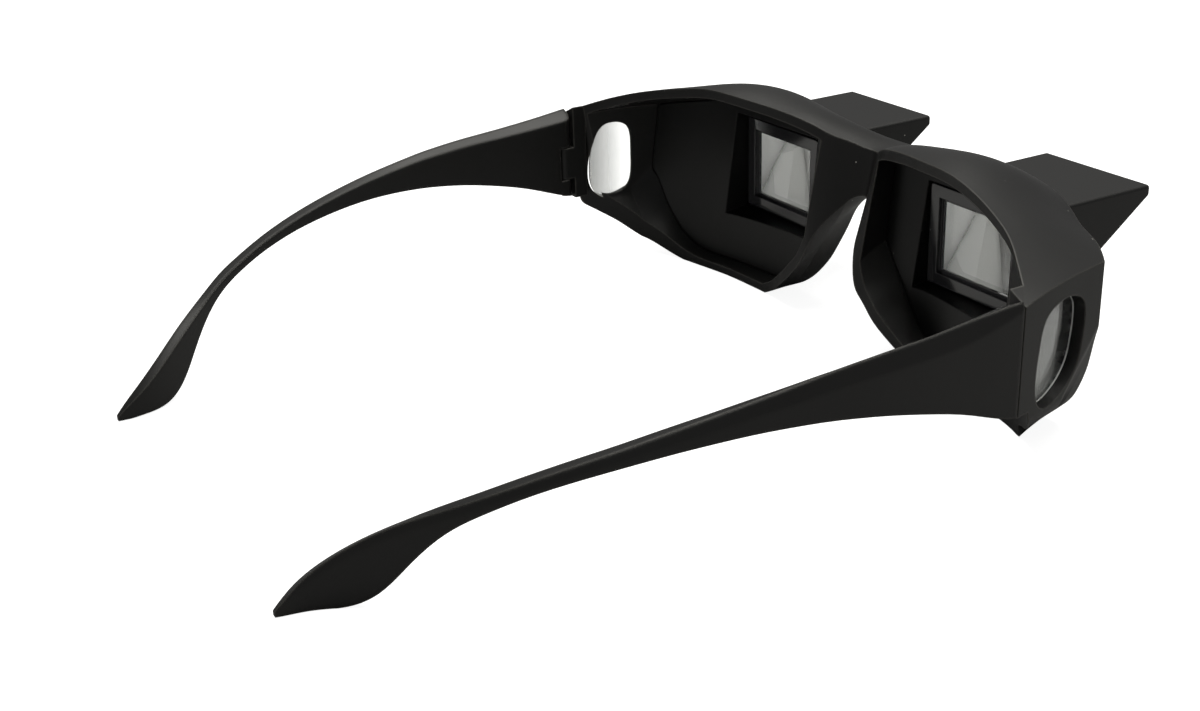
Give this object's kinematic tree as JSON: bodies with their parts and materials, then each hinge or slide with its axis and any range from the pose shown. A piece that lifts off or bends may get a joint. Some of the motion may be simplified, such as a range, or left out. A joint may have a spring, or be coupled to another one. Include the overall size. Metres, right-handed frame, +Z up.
{
  "type": "prism bed glasses",
  "caption": "Wrap-around eyeglass frame with mirrored prism blocks standing out in front, clear side windows and folding temples, for reading while lying flat.",
  "frame": {"origin": "centre of the footprint's bounding box, on the surface the glasses stand on, with the temples open", "axes": "+Z up, front of the glasses to -Y, wearer's left to +X; X = 0 is the plane of symmetry"},
  "size_m": [0.1548, 0.1862, 0.0459],
  "materials": {
    "frame": "satin",
    "temple": "satin",
    "hinge_pin": "satin",
    "housing": "satin",
    "bezel": "gloss",
    "inner_panel": "satin",
    "prism": "polished",
    "prism_mirror": "polished",
    "prism_pad": "foam",
    "prism_gasket": "matte",
    "side_lens": "polished"
  },
  "bodies": {
    "front": {"front_frame": "frame", "left_prism_housing": "housing", "left_prism": "prism", "left_prism_mirror": "prism_mirror", "left_prism_pad": "prism_pad", "left_prism_gasket": "prism_gasket", "left_eyepiece_bezel": "bezel", "left_inner_panel": "inner_panel", "left_side_lens": "side_lens", "right_prism_housing": "housing", "right_prism": "prism", "right_prism_mirror": "prism_mirror", "right_prism_pad": "prism_pad", "right_prism_gasket": "prism_gasket", "right_eyepiece_bezel": "bezel", "right_inner_panel": "inner_panel", "right_side_lens": "side_lens"},
    "left_arm": {"left_temple": "temple", "left_hinge_pin": "hinge_pin"},
    "right_arm": {"right_temple": "temple", "right_hinge_pin": "hinge_pin"}
  },
  "joints": [
    {"name": "left_temple_hinge", "type": "hinge", "parent": "front", "child": "left_arm", "pos_m": [0.0747, -0.02795, 0.0232], "axis": [0, 0, 1], "range_deg": [0, 80]},
    {"name": "right_temple_hinge", "type": "hinge", "parent": "front", "child": "right_arm", "pos_m": [-0.0747, -0.02795, 0.0232], "axis": [0, 0, 1], "range_deg": [-70, 0]}
  ]
}
